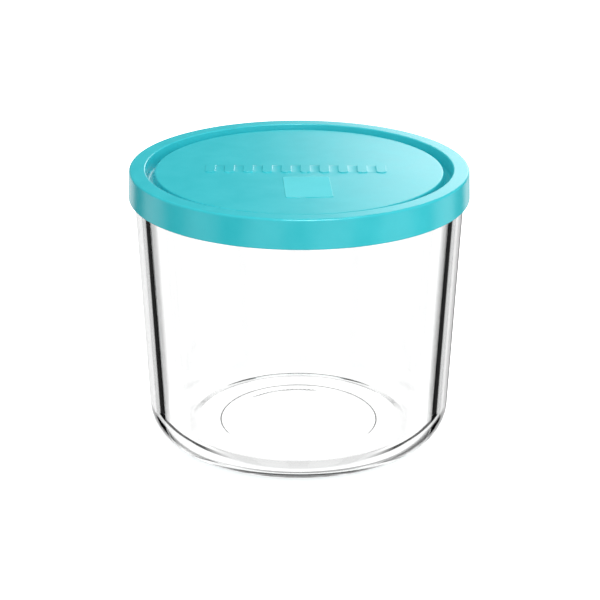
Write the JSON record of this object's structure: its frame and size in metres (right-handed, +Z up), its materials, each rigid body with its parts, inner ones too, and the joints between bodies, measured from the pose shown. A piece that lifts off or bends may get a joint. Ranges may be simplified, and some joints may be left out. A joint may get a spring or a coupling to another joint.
{
  "type": "glass storage container",
  "caption": "Round tapered glass food container with a thick base and a press-on plastic lid with a sealing groove and sunk centre panel.",
  "frame": {"origin": "centre of the jar's foot ring, on the plane it stands on", "axes": "+Z up along the axis of revolution, +Y towards the mould dots at the back, -Y towards the lid's write-on patch"},
  "size_m": [0.119, 0.119, 0.0985],
  "materials": {
    "clear_glass": "clear pressed glass, smooth and polished, faint mould marks on the underside",
    "teal_plastic": "soft polyethylene, satin moulded surface, turquoise"
  },
  "bodies": {
    "jar_body": {"jar": "clear_glass"},
    "lid_body": {"lid": "teal_plastic"}
  },
  "joints": [
    {"name": "lid_lift", "type": "slide", "parent": "jar_body", "child": "lid_body", "axis": [0, 0, 1], "range_m": [0, 0.12]}
  ]
}
